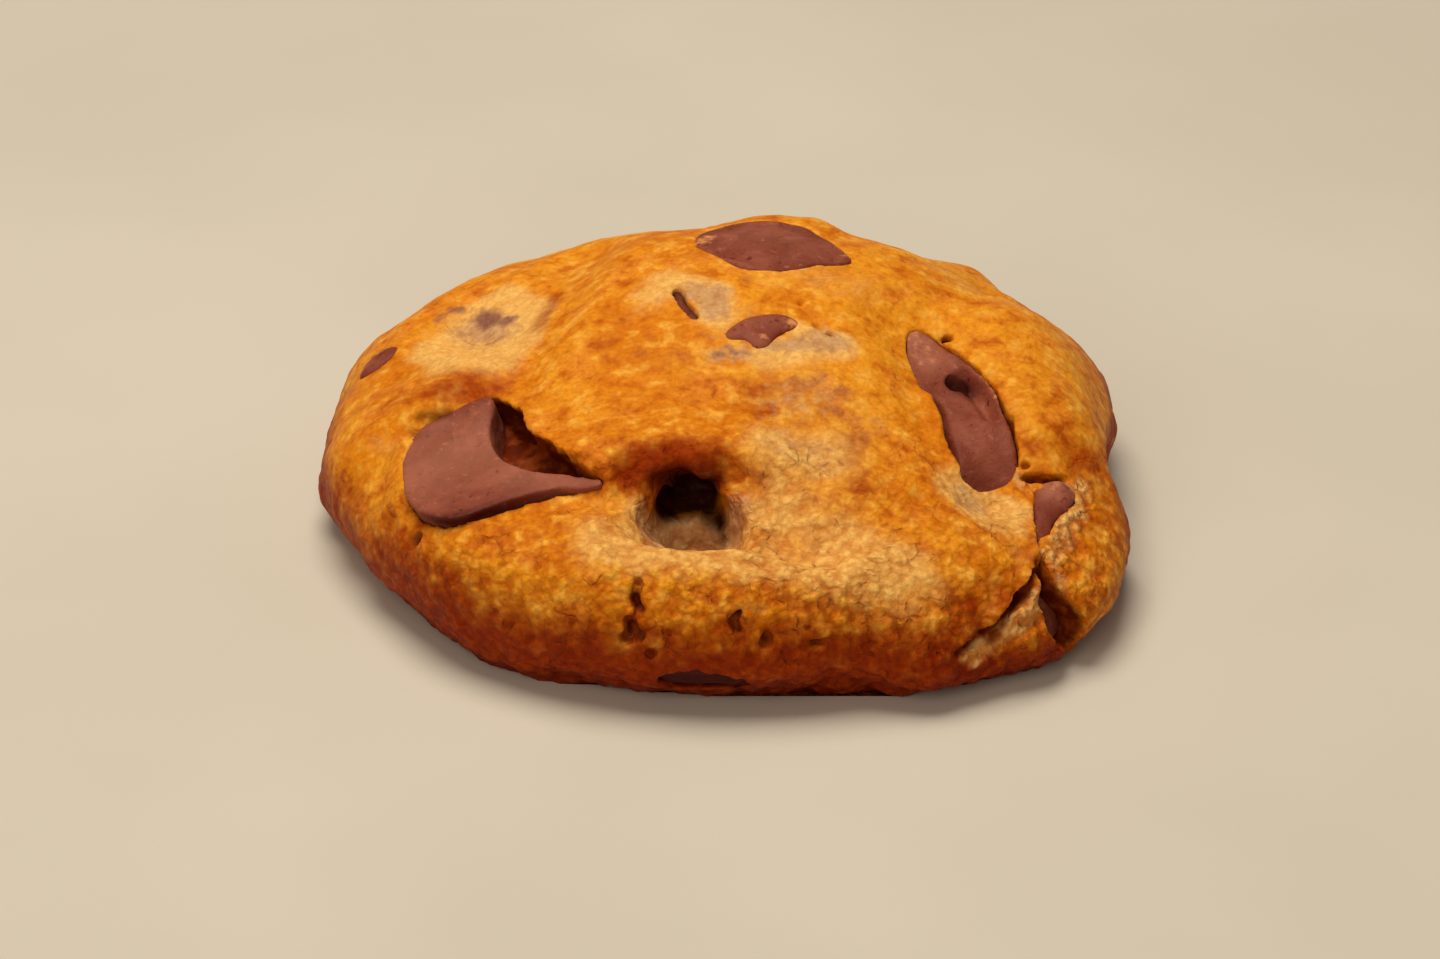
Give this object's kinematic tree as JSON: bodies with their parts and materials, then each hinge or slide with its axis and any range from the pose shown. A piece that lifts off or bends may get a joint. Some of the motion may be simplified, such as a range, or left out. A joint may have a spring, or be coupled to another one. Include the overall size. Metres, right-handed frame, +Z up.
{
  "type": "chocolate chunk cookie",
  "caption": "Thick, domed, golden-brown baked cookie with melted chocolate chunks, a deep dimple above a rolled front edge, and a cracked corner.",
  "frame": {"origin": "centre of the bounding box, on the flat underside that the cookie rests on", "axes": "+X to the right, -Y to the front with the rolled edge and the dimple, +Z up"},
  "size_m": [0.0744, 0.0714, 0.0231],
  "materials": {
    "crust": "dry, matt, finely crackled golden-brown baked crust",
    "chocolate": "satin, smooth, once-melted milk chocolate"
  },
  "bodies": {
    "root": {"dough": "crust", "chunk_left": "chocolate", "chunk_top": "chocolate", "chunk_right": "chocolate", "chunk_side": "chocolate", "chunk_middle": "chocolate", "chunk_small": "chocolate", "chunk_left_back": "chocolate", "chunk_left_rim": "chocolate", "chunk_front": "chocolate", "chunk_crack": "chocolate", "chunk_back": "chocolate"}
  },
  "joints": []
}
